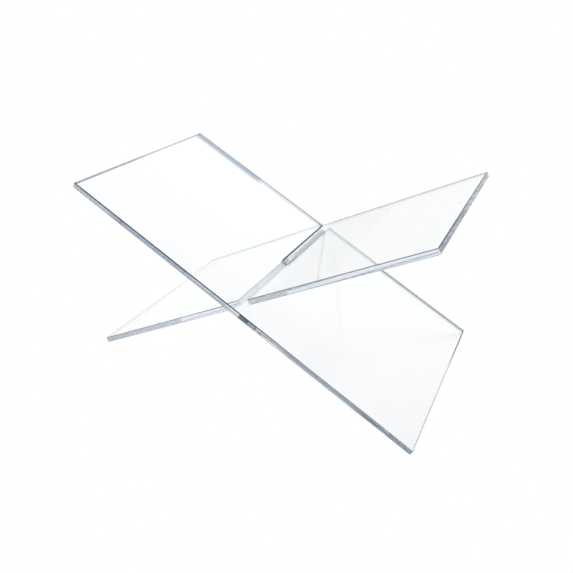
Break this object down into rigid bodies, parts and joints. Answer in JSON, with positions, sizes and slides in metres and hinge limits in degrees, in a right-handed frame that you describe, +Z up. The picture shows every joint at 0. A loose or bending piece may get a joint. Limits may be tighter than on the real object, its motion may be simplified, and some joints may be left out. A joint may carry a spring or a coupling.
{
  "type": "magazine rack",
  "caption": "Clear acrylic magazine rack: two flat slotted sheets cross to make a low X that stands on its edges and cradles magazines in its upper V.",
  "frame": {"origin": "on the table under the middle of the rack: the centre of the bottom of its bounding box", "axes": "+X along the rack, square to the line where the sheets cross; +Y to the back, along that line; +Z up"},
  "size_m": [0.339, 0.2192, 0.1838],
  "materials": {
    "clear_acrylic": "polished, clear, square-cut edges"
  },
  "bodies": {
    "back_slot_body": {"back_slot_sheet": "clear_acrylic"},
    "front_slot_body": {"front_slot_sheet": "clear_acrylic"}
  },
  "joints": [
    {"name": "cross_lap_slide", "type": "slide", "parent": "back_slot_body", "child": "front_slot_body", "axis": [0, 1, 0], "range_m": [-0.016, 0.085]}
  ]
}
